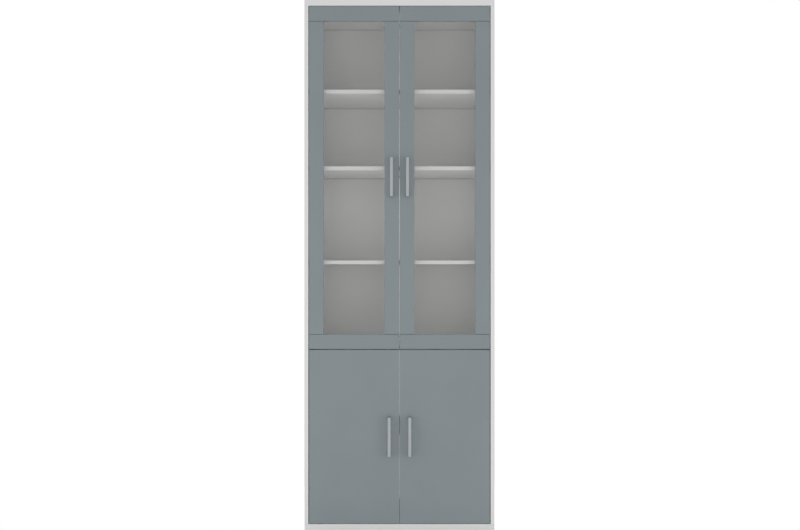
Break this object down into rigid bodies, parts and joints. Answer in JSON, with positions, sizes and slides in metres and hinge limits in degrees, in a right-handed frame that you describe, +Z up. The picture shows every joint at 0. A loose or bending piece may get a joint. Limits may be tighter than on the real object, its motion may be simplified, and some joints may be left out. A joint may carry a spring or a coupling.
{
  "type": "display cabinet",
  "caption": "Tall free-standing display cabinet: white board carcass with shelves, glazed inset doors above plain inset doors, all turning on concealed pivot pins, with bar handles.",
  "frame": {"origin": "on the floor, below the middle of the overall box (carcass and handles together)", "axes": "+Z up, -Y towards the front with the doors, +X to the right seen from the front"},
  "size_m": [0.79, 0.432, 2.21],
  "materials": {
    "white_board": "white melamine-faced chipboard, fine satin texture",
    "white_sheet": "white-faced hardboard sheet",
    "blue_grey_paint": "satin grey-blue finish on board",
    "clear_glass": "clear float glass",
    "bead_plastic": "extruded plastic, door colour",
    "satin_nickel": "satin nickel",
    "steel": "zinc-plated steel",
    "black_steel": "blackened steel",
    "nylon": "dark nylon",
    "glide_plastic": "hard black plastic",
    "catch_plastic": "white plastic"
  },
  "bodies": {
    "carcass": {"left_side": "white_board", "right_side": "white_board", "top_board": "white_board", "bottom_board": "white_board", "middle_board": "white_board", "upper_shelf_high": "white_board", "upper_shelf_middle": "white_board", "upper_shelf_low": "white_board", "lower_shelf": "white_board", "back_panel": "white_sheet", "front_left_glide": "glide_plastic", "front_right_glide": "glide_plastic", "back_left_glide": "glide_plastic", "back_right_glide": "glide_plastic", "upper_catch": "catch_plastic", "lower_catch": "catch_plastic", "left_top_pivot": "black_steel", "left_bottom_pivot": "black_steel", "left_middle_pivot": "black_steel", "right_top_pivot": "black_steel", "right_bottom_pivot": "black_steel", "right_middle_pivot": "black_steel"},
    "upper_left_door": {"upper_left_top_rail": "blue_grey_paint", "upper_left_bottom_rail": "blue_grey_paint", "upper_left_hinge_stile": "blue_grey_paint", "upper_left_meeting_stile": "blue_grey_paint", "upper_left_glass": "clear_glass", "upper_left_glazing_bead": "bead_plastic", "upper_left_handle": "satin_nickel", "upper_left_handle_screw_high": "steel", "upper_left_handle_screw_low": "steel", "upper_left_top_bush": "nylon", "upper_left_bottom_bush": "nylon", "upper_left_strike": "steel"},
    "upper_right_door": {"upper_right_top_rail": "blue_grey_paint", "upper_right_bottom_rail": "blue_grey_paint", "upper_right_hinge_stile": "blue_grey_paint", "upper_right_meeting_stile": "blue_grey_paint", "upper_right_glass": "clear_glass", "upper_right_glazing_bead": "bead_plastic", "upper_right_handle": "satin_nickel", "upper_right_handle_screw_high": "steel", "upper_right_handle_screw_low": "steel", "upper_right_top_bush": "nylon", "upper_right_bottom_bush": "nylon", "upper_right_strike": "steel"},
    "lower_left_door": {"lower_left_panel": "blue_grey_paint", "lower_left_handle": "satin_nickel", "lower_left_handle_screw_high": "steel", "lower_left_handle_screw_low": "steel", "lower_left_top_bush": "nylon", "lower_left_bottom_bush": "nylon", "lower_left_strike": "steel"},
    "lower_right_door": {"lower_right_panel": "blue_grey_paint", "lower_right_handle": "satin_nickel", "lower_right_handle_screw_high": "steel", "lower_right_handle_screw_low": "steel", "lower_right_top_bush": "nylon", "lower_right_bottom_bush": "nylon", "lower_right_strike": "steel"}
  },
  "joints": [
    {"name": "upper_left_door_swing", "type": "hinge", "parent": "carcass", "child": "upper_left_door", "pos_m": [-0.3668, -0.178, 1.4705], "axis": [0, 0, -1], "range_deg": [0, 110]},
    {"name": "upper_right_door_swing", "type": "hinge", "parent": "carcass", "child": "upper_right_door", "pos_m": [0.3668, -0.178, 1.4705], "axis": [0, 0, 1], "range_deg": [0, 110]},
    {"name": "lower_left_door_swing", "type": "hinge", "parent": "carcass", "child": "lower_left_door", "pos_m": [-0.3668, -0.178, 0.393], "axis": [0, 0, -1], "range_deg": [0, 110]},
    {"name": "lower_right_door_swing", "type": "hinge", "parent": "carcass", "child": "lower_right_door", "pos_m": [0.3668, -0.178, 0.393], "axis": [0, 0, 1], "range_deg": [0, 110]}
  ]
}
